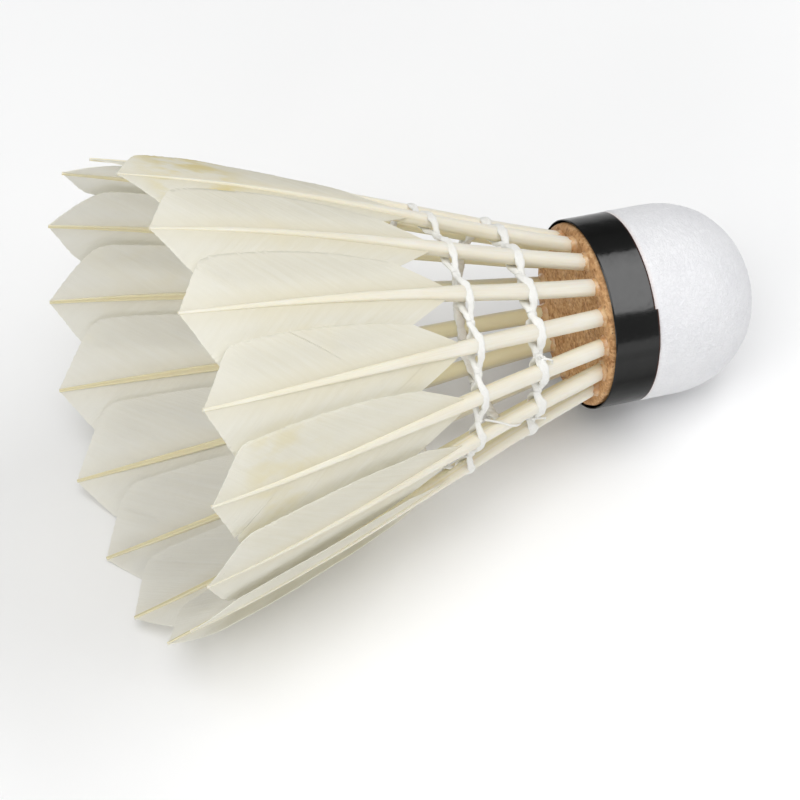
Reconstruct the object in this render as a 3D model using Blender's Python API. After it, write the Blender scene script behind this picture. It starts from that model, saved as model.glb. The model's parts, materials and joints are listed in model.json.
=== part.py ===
"""Feather badminton shuttlecock, lying on its side, nose towards +X.

The shuttle frame hangs on the empty 'shuttle_axis': local +z runs from the flat
rear face of the cork (z = 0) to the feather tips, the nose is at
z = -BASE_LENGTH, and local +x points up.  All lengths are metres.  A feather is
drawn at angle 0, where 'out' is away from the axis and 'across' is local +y.
"""
import math

import bmesh
import bpy
import numpy as np
from mathutils import Vector

MM = 0.001

# --- base dimensions ---------------------------------------------------------
BASE_DIAMETER = 26.0 * MM          # over the leather, at its fullest
BASE_RADIUS = BASE_DIAMETER / 2.0
BASE_LENGTH = 25.0 * MM            # cork rear face to the tip of the nose
DOME_LENGTH = 13.0 * MM            # part of the base length that is rounded
DOME_POWER = 2.15                  # 2 is an ellipse, more is blunter
SHOULDER = BASE_LENGTH - DOME_LENGTH   # depth at which the rounding starts

AROUND = 48                        # facets round the turned pieces
OUTER_DOME_STEPS = 9               # facets from shoulder to nose, leather outside
INNER_DOME_STEPS = 7               # the same for the leather inside and the cork

GLUE_GAP = 0.15 * MM               # glue film between concentric layers
TAPE_WIDTH = 6.0 * MM
TAPE_START = 0.6 * MM              # bare cork rim behind the tape
TAPE_END = TAPE_START + TAPE_WIDTH
TAPE_OUTER_RADIUS = 13.05 * MM
TAPE_THICKNESS = 0.25 * MM
TAPE_INNER_RADIUS = TAPE_OUTER_RADIUS - TAPE_THICKNESS
TAPE_CHAMFER = 0.08 * MM

CONE_LENGTH = 2.0 * MM             # widening from under the tape to full radius
CONE_END = TAPE_END + CONE_LENGTH

LEATHER_THICKNESS = 0.45 * MM
LEATHER_INNER_RADIUS = BASE_RADIUS - LEATHER_THICKNESS
LEATHER_TUCK = 3.4 * MM            # rear edge of the leather, hidden by the tape
LEATHER_CONE_LAG = 0.1 * MM        # outer skin starts to widen this far past the tape
TUCKED_OUTER_RADIUS = TAPE_INNER_RADIUS - GLUE_GAP
TUCKED_INNER_RADIUS = TUCKED_OUTER_RADIUS - LEATHER_THICKNESS

CORK_INSET = LEATHER_THICKNESS + GLUE_GAP
CORK_RADIUS = BASE_RADIUS - CORK_INSET
DISC_LENGTH = 10.0 * MM            # natural cork disc that holds the quills
DISC_RADIUS = 12.10 * MM           # under the tape
DISC_CHAMFER = 0.35 * MM
JOINT_GAP = 0.3 * MM               # between disc and dome
CLEAR_FACE_RADIUS = 7.6 * MM       # clear middle of the rear face

# --- feather dimensions ------------------------------------------------------
FEATHER_COUNT = 16
PITCH = 2.0 * math.pi / FEATHER_COUNT
FEATHER_LENGTH = 64.0 * MM         # projection out of the cork, along the axis
INSERT_RADIUS = 10.4 * MM          # quill centres on the rear face
TIP_RADIUS = 32.5 * MM             # feather tips lie on this circle
INSERT_DEPTH = 8.0 * MM
BOW = 1.2 * MM                     # curve of the shaft between root and tip
PIVOT_DEPTH = 4.0 * MM             # elastic bending point of a glued quill

# Slope of the straight inserted part; it meets the bowed part smoothly at z = 0.
ROOT_SLOPE = (TIP_RADIUS - INSERT_RADIUS - 0.5 * math.pi * BOW) / FEATHER_LENGTH

SOCKET_GAP = 0.3 * MM              # between quill and socket wall, and at the bottom
SOCKET_OVERSHOOT = 1.0 * MM        # cutter length beyond the rear face
SOCKET_SIDES = 12
SOCKET_FLAT_RATIO = 0.97           # flat to corner radius of the cutter, nearly

THREAD_HEIGHTS = (11.0 * MM, 21.0 * MM)
THREAD_HALF = 0.38 * MM            # half height of the thread row
THREAD_GAP = 0.2 * MM              # between strand and quill
WINDOW_END_GAP = THREAD_GAP + 0.15 * MM   # quill side to the window's end wall
WINDOW_END_RATIO = 0.55            # depth of the window at its ends
STRAND = 0.7 * MM
CLOSED_HALF = 0.62 * STRAND        # half thickness midway between quills
SEAM_HALF = 0.1 * MM               # half spacing of the edges where the strands meet

VANE_START = 22.2 * MM             # first barbs, just past the upper thread row
TIP_CUT = math.radians(32.0)       # slope of the two straight cuts at the tip
TIP_HALF = 0.35 * MM
VANE_HALF_THICKNESS = 0.14 * MM
SHINGLE_ANGLE = math.radians(6.0)  # tilt that lets each vane overlap the next
CAMBER = 0.85                      # share of the skirt's own roundness

# (height, half width, half depth) of the shaft, root to tip
SHAFT = (
    (-INSERT_DEPTH, 0.72 * MM, 0.66 * MM),
    (0.0, 1.20 * MM, 1.05 * MM),
    (11.0 * MM, 1.15 * MM, 1.00 * MM),
    (21.0 * MM, 1.08 * MM, 0.94 * MM),
    (30.0 * MM, 0.86 * MM, 0.76 * MM),
    (45.0 * MM, 0.60 * MM, 0.52 * MM),
    (56.0 * MM, 0.42 * MM, 0.36 * MM),
    (FEATHER_LENGTH, 0.27 * MM, 0.23 * MM),
)

# (height, reach of the side that laps over, reach of the side tucked under) of
# the vane.  The neighbours' edges meet at 30 mm; the tip cuts trim the rest.
VANE = (
    (VANE_START, 1.10 * MM, 1.10 * MM),
    (30.0 * MM, 4.30 * MM, 4.35 * MM),
    (36.0 * MM, 5.70 * MM, 6.20 * MM),
    (43.0 * MM, 6.80 * MM, 7.60 * MM),
    (50.0 * MM, 7.35 * MM, 8.60 * MM),
    (55.5 * MM, 7.30 * MM, 9.00 * MM),
    (58.2 * MM, 7.05 * MM, 8.50 * MM),
    (59.5 * MM, 6.60 * MM, 7.40 * MM),
    (FEATHER_LENGTH, 6.60 * MM, 7.40 * MM),
)

# heights of the feather's sections; the last stops just short of the full length
STATIONS = (
    -INSERT_DEPTH, -0.2 * MM, *THREAD_HEIGHTS, VANE_START, 26.0 * MM,
    *(row[0] for row in VANE[1:-1]), FEATHER_LENGTH - 0.1 * MM,
)

# Corner angles of a quill section in degrees, 0 along +across and 90 outwards.
SIDE_CORNERS = (-48.0, -28.0, -9.0, 9.0, 28.0, 48.0)
CORNERS = (*SIDE_CORNERS, 90.0, *(180.0 + angle for angle in SIDE_CORNERS), 270.0)
OVER_CORNER = 1                    # first of the four corners drawn out to each vane
UNDER_CORNER = 8

# --- resting position --------------------------------------------------------
NOMINAL_TILT = math.radians(14.7)  # close to the resting tilt, used to set the phase
MAX_TILT = math.radians(30.0)
TILT_HALVINGS = 50

# name: (colour, roughness)
MATERIALS = {
    "natural_cork": ((0.55, 0.31, 0.16), 0.85),
    "composite_cork": ((0.48, 0.28, 0.15), 0.9),
    "white_leather": ((0.82, 0.82, 0.85), 0.45),
    "black_tape": ((0.015, 0.015, 0.015), 0.22),
    "white_thread": ((0.85, 0.85, 0.80), 0.7),
    "feather": ((0.80, 0.78, 0.68), 0.6),
}


# --- scene helpers -----------------------------------------------------------
def clear_scene():
    for obj in list(bpy.data.objects):
        bpy.data.objects.remove(obj, do_unlink=True)


def make_material(name, colour, roughness):
    material = bpy.data.materials.new(name)
    material.use_nodes = True
    shader = material.node_tree.nodes["Principled BSDF"]
    shader.inputs["Base Color"].default_value = (*colour, 1.0)
    shader.inputs["Roughness"].default_value = roughness
    material.diffuse_color = (*colour, 1.0)
    return material


def add_object(name, mesh, material, parent):
    obj = bpy.data.objects.new(name, mesh)
    bpy.context.scene.collection.objects.link(obj)
    if not mesh.materials:         # the feathers share one mesh
        mesh.materials.append(material)
    obj.parent = parent
    return obj


# --- mesh helpers ------------------------------------------------------------
def mesh_from(name, bm, sharp_degrees=40.0):
    bmesh.ops.recalc_face_normals(bm, faces=bm.faces)
    mesh = bpy.data.meshes.new(name)
    bm.to_mesh(mesh)
    bm.free()
    mesh.shade_smooth()
    mesh.set_sharp_from_angle(angle=math.radians(sharp_degrees))
    return mesh


def polar(radius, angle, z):
    return (radius * math.cos(angle), radius * math.sin(angle), z)


def at_height(table, z):
    """Columns of a table interpolated at height z, held constant past its ends."""
    heights, *columns = zip(*table)
    return [float(np.interp(z, heights, column)) for column in columns]


def revolve(name, profile, closed=False):
    """Turn (radius, z) points about z.  Radius 0 becomes a single point.

    closed=True joins the last profile point to the first one.  Two single
    points in a row are left unjoined, which parts an outer from an inner skin.
    """
    bm = bmesh.new()
    rings = []
    for radius, z in profile:
        if radius < 1e-7:
            rings.append([bm.verts.new((0.0, 0.0, z))])
        else:
            rings.append([bm.verts.new(polar(radius, 2.0 * math.pi * i / AROUND, z))
                          for i in range(AROUND)])
    pairs = list(zip(rings, rings[1:]))
    if closed:
        pairs.append((rings[-1], rings[0]))
    for near, far in pairs:
        if len(near) == len(far) == 1:
            continue
        for i in range(AROUND):
            j = (i + 1) % AROUND
            if len(near) == 1:
                bm.faces.new((near[0], far[i], far[j]))
            elif len(far) == 1:
                bm.faces.new((near[i], far[0], near[j]))
            else:
                bm.faces.new((near[i], far[i], far[j], near[j]))
    return mesh_from(name, bm)


def add_tube(bm, sections):
    """Solid skinned through sections of equal point count, capped at both ends."""
    rings = [[bm.verts.new(point) for point in section] for section in sections]
    count = len(rings[0])
    for low, high in zip(rings, rings[1:]):
        for i in range(count):
            j = (i + 1) % count
            bm.faces.new((low[i], low[j], high[j], high[i]))
    bm.faces.new(list(reversed(rings[0])))
    bm.faces.new(rings[-1])


# --- base: cork, leather and tape --------------------------------------------
def dome_points(inset, steps):
    """Profile of the rounded nose, pulled in by inset, from past the shoulder to the tip."""
    radius = BASE_RADIUS - inset
    height = DOME_LENGTH - inset
    power = 2.0 / DOME_POWER
    points = []
    for i in range(1, steps):
        angle = 0.5 * math.pi * i / steps
        points.append((radius * math.cos(angle) ** power,
                       -SHOULDER - height * math.sin(angle) ** power))
    points.append((0.0, -SHOULDER - height))
    return points


def build_cork_disc():
    return revolve("cork_disc", [
        (0.0, 0.0),
        (CLEAR_FACE_RADIUS, 0.0),
        (DISC_RADIUS - DISC_CHAMFER, 0.0),
        (DISC_RADIUS, -DISC_CHAMFER),
        (DISC_RADIUS, -TAPE_END),
        (CORK_RADIUS, -CONE_END),
        (CORK_RADIUS, -DISC_LENGTH),
        (0.0, -DISC_LENGTH),
    ])


def build_cork_dome():
    top = -DISC_LENGTH - JOINT_GAP
    return revolve("cork_dome", [
        (0.0, top),
        (CORK_RADIUS, top),
        (CORK_RADIUS, -SHOULDER),
        *dome_points(CORK_INSET, INNER_DOME_STEPS),
    ])


def build_leather():
    """Outer skin down to the nose, then the inner skin back up to the rim."""
    outer = [
        (TUCKED_INNER_RADIUS, -LEATHER_TUCK),
        (TUCKED_OUTER_RADIUS, -LEATHER_TUCK),
        (TUCKED_OUTER_RADIUS, -TAPE_END - LEATHER_CONE_LAG),
        (BASE_RADIUS, -CONE_END),
        (BASE_RADIUS, -SHOULDER),
        *dome_points(0.0, OUTER_DOME_STEPS),
    ]
    inner = [
        (TUCKED_INNER_RADIUS, -TAPE_END),
        (LEATHER_INNER_RADIUS, -CONE_END),
        (LEATHER_INNER_RADIUS, -SHOULDER),
        *dome_points(LEATHER_THICKNESS, INNER_DOME_STEPS),
    ]
    return revolve("leather_cover", outer + inner[::-1], closed=True)


def build_tape():
    return revolve("black_tape", [
        (TAPE_INNER_RADIUS, -TAPE_START),
        (TAPE_OUTER_RADIUS - TAPE_CHAMFER, -TAPE_START),
        (TAPE_OUTER_RADIUS, -TAPE_START - TAPE_CHAMFER),
        (TAPE_OUTER_RADIUS, -TAPE_END + TAPE_CHAMFER),
        (TAPE_OUTER_RADIUS - TAPE_CHAMFER, -TAPE_END),
        (TAPE_INNER_RADIUS, -TAPE_END),
    ], closed=True)


# --- feathers ----------------------------------------------------------------
def shaft_radius(z):
    """Distance of the shaft's centre line from the shuttle axis."""
    if z <= 0.0:
        return INSERT_RADIUS + ROOT_SLOPE * z
    t = z / FEATHER_LENGTH
    return (INSERT_RADIUS + (TIP_RADIUS - INSERT_RADIUS) * t
            + BOW * math.sin(math.pi * t) * (2.0 * t - 0.5))


def shaft_slope(z):
    """Angle between the shaft's centre line and the shuttle axis."""
    step = 0.05 * MM
    return math.atan2(shaft_radius(z + step) - shaft_radius(z - step), 2.0 * step)


def vane_reaches(z):
    """Reach of the over and under sides of the vane, trimmed by the tip cuts."""
    if z <= VANE_START:
        return [0.0, 0.0]
    cut = (FEATHER_LENGTH - z) / math.tan(TIP_CUT) + TIP_HALF
    return [min(reach, cut) for reach in at_height(VANE, z)]


def feather_section(z):
    """Closed outline of the feather at height z, as (across, out) offsets."""
    half_width, half_depth = at_height(SHAFT, z)
    outline = [(half_width * math.cos(math.radians(corner)),
                half_depth * math.sin(math.radians(corner))) for corner in CORNERS]
    over, under = vane_reaches(z)
    if min(over, under) <= half_width:
        return outline

    curve = CAMBER * math.cos(shaft_slope(z)) / shaft_radius(z)
    tilt = math.tan(SHINGLE_ANGLE)
    for side, reach, first in ((1, over, OVER_CORNER), (-1, under, UNDER_CORNER)):
        middle = 0.5 * (half_width + reach)
        # out along one face of the vane and back along the other
        path = ((middle, -side), (reach, -side), (reach, side), (middle, side))
        for index, (distance, face) in enumerate(path, first):
            across = side * distance
            lift = tilt * across - 0.5 * curve * across * across
            outline[index] = (across, lift + face * VANE_HALF_THICKNESS)
    return outline


def feather_points(z):
    """Outline at height z in the shuttle frame, for the feather at angle 0."""
    slope = shaft_slope(z)
    radius = shaft_radius(z)
    return [Vector((radius + out * math.cos(slope), across, z - out * math.sin(slope)))
            for across, out in feather_section(z)]


PIVOT_Z = -PIVOT_DEPTH
PIVOT_RADIUS = shaft_radius(PIVOT_Z)


def build_feather():
    """One feather, with its origin at the pivot inside the cork."""
    pivot = Vector((PIVOT_RADIUS, 0.0, PIVOT_Z))
    bm = bmesh.new()
    add_tube(bm, [[point - pivot for point in feather_points(z)] for z in STATIONS])
    bmesh.ops.triangulate(bm, faces=bm.faces)
    return mesh_from("feather", bm, sharp_degrees=50.0)


def lowest_corner():
    """Angle, from the shaft, of the corner of a feather that reaches out furthest."""
    furthest, angle = 0.0, 0.0
    for z in STATIONS:
        for p in feather_points(z):
            out = math.hypot(p.x, p.y) * math.cos(NOMINAL_TILT) - p.z * math.sin(NOMINAL_TILT)
            if out > furthest:
                furthest, angle = out, math.atan2(p.y, p.x)
    return angle


# the skirt stands on the corners of two neighbouring feathers
PHASE = 0.5 * PITCH - lowest_corner()


def feather_angle(k):
    return 2.0 * math.pi * k / FEATHER_COUNT + PHASE


def socket_section(z, theta):
    """Cutter outline at height z, for the quill at angle theta."""
    half_width, half_depth = at_height(SHAFT, min(z, 0.0))
    slope = math.atan(ROOT_SLOPE)
    points = []
    for i in range(SOCKET_SIDES):
        corner = 2.0 * math.pi * (i + 0.5) / SOCKET_SIDES
        across = (half_width + SOCKET_GAP) * math.cos(corner) / SOCKET_FLAT_RATIO
        out = (half_depth + SOCKET_GAP) * math.sin(corner) / SOCKET_FLAT_RATIO
        x = INSERT_RADIUS + ROOT_SLOPE * z + out * math.cos(slope)
        points.append((x * math.cos(theta) - across * math.sin(theta),
                       x * math.sin(theta) + across * math.cos(theta),
                       z - out * math.sin(slope)))
    return points


def build_socket_cutters():
    """Tapered cutters for the blind holes, along the slant of the quills."""
    bm = bmesh.new()
    for k in range(FEATHER_COUNT):
        add_tube(bm, [socket_section(z, feather_angle(k))
                      for z in (-INSERT_DEPTH - SOCKET_GAP, SOCKET_OVERSHOOT)])
    return mesh_from("socket_cutters", bm)


# --- thread rows -------------------------------------------------------------
def build_thread_row(name, height):
    """Two strands that part round each quill and close up between quills.

    Every station has four edges: outer strand outside and inside, inner strand
    outside and inside.  The window between the strands is where the quill runs.
    """
    radius = shaft_radius(height)
    slope = shaft_slope(height)
    half_width, half_depth = at_height(SHAFT, height)
    # the slanting quill sweeps a deeper window over the height of the row
    window = half_depth / math.cos(slope) + THREAD_HALF * math.tan(slope) + THREAD_GAP
    window_end = window * WINDOW_END_RATIO
    side = (half_width + WINDOW_END_GAP) / radius
    # (angle from the quill, half depth over the strands, half depth of the window)
    steps = (
        (-side, window_end + STRAND, window_end),
        (-side * 0.5, window + STRAND, window),
        (side * 0.5, window + STRAND, window),
        (side, window_end + STRAND, window_end),
        (PITCH * 0.5, CLOSED_HALF, SEAM_HALF),
    )
    bm = bmesh.new()
    columns = []                                   # (lower edges, upper edges)
    for k in range(FEATHER_COUNT):
        for offset, outer, inner in steps:
            angle = feather_angle(k) + offset
            columns.append([
                [bm.verts.new(polar(radius + edge, angle, z))
                 for edge in (outer, inner, -inner, -outer)]
                for z in (height - THREAD_HALF, height + THREAD_HALF)])

    for i, (lo_a, hi_a) in enumerate(columns):
        lo_b, hi_b = columns[(i + 1) % len(columns)]
        step = i % len(steps)
        for edge in (0, 2):                        # outer strand, inner strand
            bm.faces.new((hi_a[edge], hi_b[edge], hi_b[edge + 1], hi_a[edge + 1]))
            bm.faces.new((lo_a[edge + 1], lo_b[edge + 1], lo_b[edge], lo_a[edge]))
        bm.faces.new((lo_a[0], lo_b[0], hi_b[0], hi_a[0]))
        bm.faces.new((lo_a[3], hi_a[3], hi_b[3], lo_b[3]))
        if step < 3:                               # long walls of the window
            bm.faces.new((lo_a[1], hi_a[1], hi_b[1], lo_b[1]))
            bm.faces.new((lo_a[2], lo_b[2], hi_b[2], hi_a[2]))
        else:                                      # top and bottom of the closed part
            bm.faces.new((hi_a[1], hi_b[1], hi_b[2], hi_a[2]))
            bm.faces.new((lo_a[2], lo_b[2], lo_b[1], lo_a[1]))
        if step == 0:                              # near end wall of the window
            bm.faces.new((lo_a[1], lo_a[2], hi_a[2], hi_a[1]))
        if step == 3:                              # far end wall of the window
            bm.faces.new((lo_a[1], hi_a[1], hi_a[2], lo_a[2]))
    return mesh_from(name, bm)


# --- resting tilt ------------------------------------------------------------
def resting_tilt():
    """Axis tilt at which the nose and the lowest two feathers share one floor."""
    points = [p for z in STATIONS for p in feather_points(z)]
    skirt = []                                     # (x, z) of all feather corners
    for k in range(FEATHER_COUNT):
        cosine, sine = math.cos(feather_angle(k)), math.sin(feather_angle(k))
        skirt += [(p.x * cosine - p.y * sine, p.z) for p in points]
    profile = [(BASE_RADIUS, -SHOULDER), *dome_points(0.0, OUTER_DOME_STEPS)]
    nose = [(-radius, z) for radius, z in profile]

    def lowest(outline, tilt):
        return min(x * math.cos(tilt) + z * math.sin(tilt) for x, z in outline)

    low, high = 0.0, MAX_TILT
    for _ in range(TILT_HALVINGS):
        middle = 0.5 * (low + high)
        if lowest(skirt, middle) < lowest(nose, middle):
            low = middle
        else:
            high = middle
    return 0.5 * (low + high)


# --- assembly ----------------------------------------------------------------
def add_axis():
    axis = bpy.data.objects.new("shuttle_axis", None)
    bpy.context.scene.collection.objects.link(axis)
    axis.rotation_euler = (0.0, resting_tilt() - 0.5 * math.pi, 0.0)
    return axis


def add_cork_disc(material, axis):
    """Cork disc, with the quill sockets cut by a hidden helper."""
    disc = add_object("cork_disc", build_cork_disc(), material, axis)
    cutter = add_object("socket_cutters", build_socket_cutters(), material, axis)
    cutter.hide_render = True
    cutter.display_type = "WIRE"
    sockets = disc.modifiers.new("sockets", "BOOLEAN")
    sockets.operation = "DIFFERENCE"
    sockets.solver = "EXACT"
    sockets.object = cutter


def add_feathers(material, axis):
    mesh = build_feather()
    for k in range(FEATHER_COUNT):
        angle = feather_angle(k)
        feather = add_object("feather_%02d" % (k + 1), mesh, material, axis)
        feather.location = polar(PIVOT_RADIUS, angle, PIVOT_Z)
        feather.rotation_euler = (0.0, 0.0, angle)


def main():
    clear_scene()
    materials = {name: make_material(name, colour=colour, roughness=roughness)
                 for name, (colour, roughness) in MATERIALS.items()}
    axis = add_axis()
    add_cork_disc(materials["natural_cork"], axis)
    add_object("cork_dome", build_cork_dome(), materials["composite_cork"], axis)
    add_object("leather_cover", build_leather(), materials["white_leather"], axis)
    add_object("black_tape", build_tape(), materials["black_tape"], axis)
    for name, height in zip(("thread_row_lower", "thread_row_upper"), THREAD_HEIGHTS):
        add_object(name, build_thread_row(name, height), materials["white_thread"], axis)
    add_feathers(materials["feather"], axis)


main()
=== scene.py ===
"""A feather badminton shuttlecock: leather-covered cork base, sixteen feathers, two
rows of thread, and a small studio around it.

Shapes are worked out in the shuttle's own frame, in millimetres: z runs from the
cork's rear face (z = 0) to the feather tips, x points up, y to the side. The nose of
the base lies at negative z. The studio is in metres, in world axes.
"""
import json
import math
from itertools import product
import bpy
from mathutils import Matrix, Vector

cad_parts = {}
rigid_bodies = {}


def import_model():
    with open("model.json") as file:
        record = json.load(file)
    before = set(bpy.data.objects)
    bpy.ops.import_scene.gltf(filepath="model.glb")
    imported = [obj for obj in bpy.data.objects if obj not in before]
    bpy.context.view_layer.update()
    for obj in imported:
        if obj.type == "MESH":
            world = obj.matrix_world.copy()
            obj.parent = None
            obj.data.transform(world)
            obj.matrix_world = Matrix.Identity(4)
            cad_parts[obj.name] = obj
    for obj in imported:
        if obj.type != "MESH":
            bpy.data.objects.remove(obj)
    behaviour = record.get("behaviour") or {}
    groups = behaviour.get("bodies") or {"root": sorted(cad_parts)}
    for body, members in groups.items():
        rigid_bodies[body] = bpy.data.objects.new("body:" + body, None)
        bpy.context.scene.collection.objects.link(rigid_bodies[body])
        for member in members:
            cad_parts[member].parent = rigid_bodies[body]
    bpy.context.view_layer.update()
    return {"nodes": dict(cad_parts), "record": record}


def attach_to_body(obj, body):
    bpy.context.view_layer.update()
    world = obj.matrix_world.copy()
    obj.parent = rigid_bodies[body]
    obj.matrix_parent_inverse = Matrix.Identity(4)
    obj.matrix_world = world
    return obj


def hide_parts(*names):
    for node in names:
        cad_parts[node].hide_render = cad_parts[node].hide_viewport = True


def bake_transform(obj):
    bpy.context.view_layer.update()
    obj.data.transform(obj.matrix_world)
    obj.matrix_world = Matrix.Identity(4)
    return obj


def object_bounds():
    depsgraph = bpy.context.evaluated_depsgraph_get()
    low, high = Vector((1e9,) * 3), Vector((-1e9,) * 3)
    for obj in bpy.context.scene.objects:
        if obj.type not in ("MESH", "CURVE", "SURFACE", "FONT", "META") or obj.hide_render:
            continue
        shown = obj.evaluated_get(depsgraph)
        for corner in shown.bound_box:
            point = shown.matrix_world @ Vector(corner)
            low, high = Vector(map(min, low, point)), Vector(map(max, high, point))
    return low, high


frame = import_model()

from types import SimpleNamespace

import bmesh
import bpy
import numpy as np
from mathutils import Matrix, Vector


# --- the shuttle's frame in the world ---------------------------------------------
MM = 0.001
mount = [m for m in frame["record"]["mounts"] if m["name"] == "cork_rear_face"][0]
AXIS = Vector(mount["axis"]).normalized()
UP = (Vector((0, 0, 1)) - AXIS * AXIS.z).normalized()
SIDE = AXIS.cross(UP)
TO_WORLD = (Matrix.Translation(Vector(mount["pos_m"]))
            @ Matrix((UP, SIDE, AXIS)).transposed().to_4x4())
TO_WORLD_ARRAY = np.array(TO_WORLD)
joint = [j for j in frame["record"]["behaviour"]["joints"] if j["name"] == "feather_01_flex"][0]
first_root = TO_WORLD.inverted() @ Vector(joint["pos_m"])

# --- dimensions, millimetres --------------------------------------------------------
COUNT = 16
PITCH = 2 * math.pi / COUNT
PHASE = math.atan2(first_root.y, first_root.x)      # where the first feather stands

BASE_R = 13.0
SHOULDER = 12.0                                     # depth at which the dome begins
DOME_H, DOME_POWER = 13.0, 2.15
NOSE_Z = -SHOULDER - DOME_H
LEATHER_INSET = 0.45                                # thickness of the cover on the dome
# rear part of the cover's outer face: radius, z
LEATHER_REAR = [(12.62, -3.42), (12.68, -3.44), (12.70, -6.55), (12.86, -6.95),
                (12.97, -7.6), (BASE_R, -8.8), (BASE_R, -SHOULDER)]
# rear part of its inner face: radius, z
LEATHER_LINING = [(12.24, -3.5), (12.24, -6.6), (12.5, -8.6),
                  (BASE_R - LEATHER_INSET, -SHOULDER)]
TAPE_REAR, TAPE_FRONT = -0.6, -6.6                  # z of the tape's two long edges
TAPE_INNER_R, TAPE_THICK = 12.86, 0.14
CORK_R, CORK_WAIST_R, CORK_DEPTH = 12.5, 12.1, 10.0
# cork outline from the rear face's edge to the front face: radius, z
CORK_SIDE = [(11.95, -0.04), (12.2, -0.16), (12.38, -0.36), (CORK_R, -0.62), (CORK_R, -1.1),
             (12.3, -1.6), (CORK_WAIST_R, -2.0), (CORK_WAIST_R, -3.2), (CORK_WAIST_R, -5.0),
             (CORK_WAIST_R, -6.6), (12.38, -8.6), (12.38, -9.98)]

LENGTH = 64.0
INSERT_R, TIP_R = 10.4, 32.5                        # shaft radius from the axis, both ends
BOW = 1.2
ROWS = (11.0, 21.0)                                 # heights of the thread rows
ROW_NAMES = ("lower", "upper")
STRANDS = (0.42, 0.35)                              # strand size in each row
# shaft: z, half width across, half depth
SHAFT_Z, SHAFT_WIDTH, SHAFT_DEPTH = np.array([
    (-8.0, 0.72, 0.66), (0.0, 1.20, 1.05), (11.0, 1.15, 1.00), (21.0, 1.06, 0.93),
    (30.0, 0.80, 0.73), (45.0, 0.52, 0.48), (56.0, 0.36, 0.33), (64.0, 0.22, 0.20)]).T
VANE_START, TIP_CUT = 22.2, math.radians(32.0)
# vane: z, reach of the side that laps over, reach of the side tucked under
VANE_Z, VANE_OVER, VANE_UNDER = np.array([
    (20.0, 0.3, 0.3), (22.2, 1.10, 1.10), (26.0, 2.80, 2.80), (30.0, 4.30, 4.35),
    (36.0, 5.70, 6.20), (43.0, 6.80, 7.60), (50.0, 7.35, 8.60), (56.0, 7.45, 9.10),
    (62.0, 7.20, 9.15), (66.0, 7.0, 9.1)]).T
SHINGLE, CAMBER = math.radians(6.0), 0.85           # tilt and arch of every vane


# --- curves and noise -----------------------------------------------------------------
def curve(x, xs, ys):
    """Smooth curve through the points of a table."""
    x = np.clip(x, xs[0], xs[-1])
    slope = np.gradient(ys, xs)
    i = np.clip(np.searchsorted(xs, x, side="right") - 1, 0, len(xs) - 2)
    h = xs[i + 1] - xs[i]
    t = (x - xs[i]) / h
    return ((2 * t ** 3 - 3 * t ** 2 + 1) * ys[i] + (t ** 3 - 2 * t ** 2 + t) * h * slope[i]
            + (3 * t ** 2 - 2 * t ** 3) * ys[i + 1] + (t ** 3 - t ** 2) * h * slope[i + 1])


def smooth(x, low, high):
    """Eased step from 0 at low to 1 at high."""
    t = np.clip((x - low) / (high - low), 0, 1)
    return t * t * (3 - 2 * t)


def lattice(ix, iy, iz, seed):
    """Hashed value, 0 to 1, at each whole-number point."""
    h = (ix * 374761393 + iy * 668265263 + iz * 1103515245 + seed * 974711) & 0xFFFFFFFF
    h = ((h ^ (h >> 13)) * 1274126177) & 0xFFFFFFFF
    h = ((h ^ (h >> 15)) * 668265263) & 0xFFFFFFFF
    return ((h ^ (h >> 16)) & 0xFFFFFF) / float(0xFFFFFF)


def noise(p, seed):
    """Smooth value noise, -1 to 1."""
    p = np.asarray(p, float)
    cell = np.floor(p).astype(np.int64)
    f = p - cell
    f = f * f * f * (f * (f * 6 - 15) + 10)
    total = 0.0
    for corner in product((0, 1), repeat=3):
        weight = 1.0
        for axis, step in enumerate(corner):
            weight = weight * (f[..., axis] if step else 1 - f[..., axis])
        ix, iy, iz = (cell[..., axis] + step for axis, step in enumerate(corner))
        total = total + weight * lattice(ix, iy, iz, seed)
    return total * 2 - 1


def fbm(p, octaves, seed):
    """Layers of noise, each about twice as fine and half as strong as the last."""
    total, strength, norm = 0.0, 1.0, 0.0
    p = np.asarray(p, float)
    for octave in range(octaves):
        total = total + strength * noise(p, seed + 17 * octave)
        norm += strength
        p, strength = p * 2.03, strength * 0.5
    return total / norm


def stack(*parts):
    return np.stack(np.broadcast_arrays(*parts), axis=-1)


def turned(x, y, z, angle):
    """Points turned about the shuttle's axis."""
    c, s = math.cos(angle), math.sin(angle)
    return stack(x * c - y * s, x * s + y * c, z)


def lathe(profile, segments):
    """Points of a turned profile of (radius, z): rows x segments x 3."""
    angle = np.arange(segments) * 2 * math.pi / segments
    r, z = profile[:, :1], profile[:, 1:]
    return stack(r * np.cos(angle), r * np.sin(angle), z)


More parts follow.
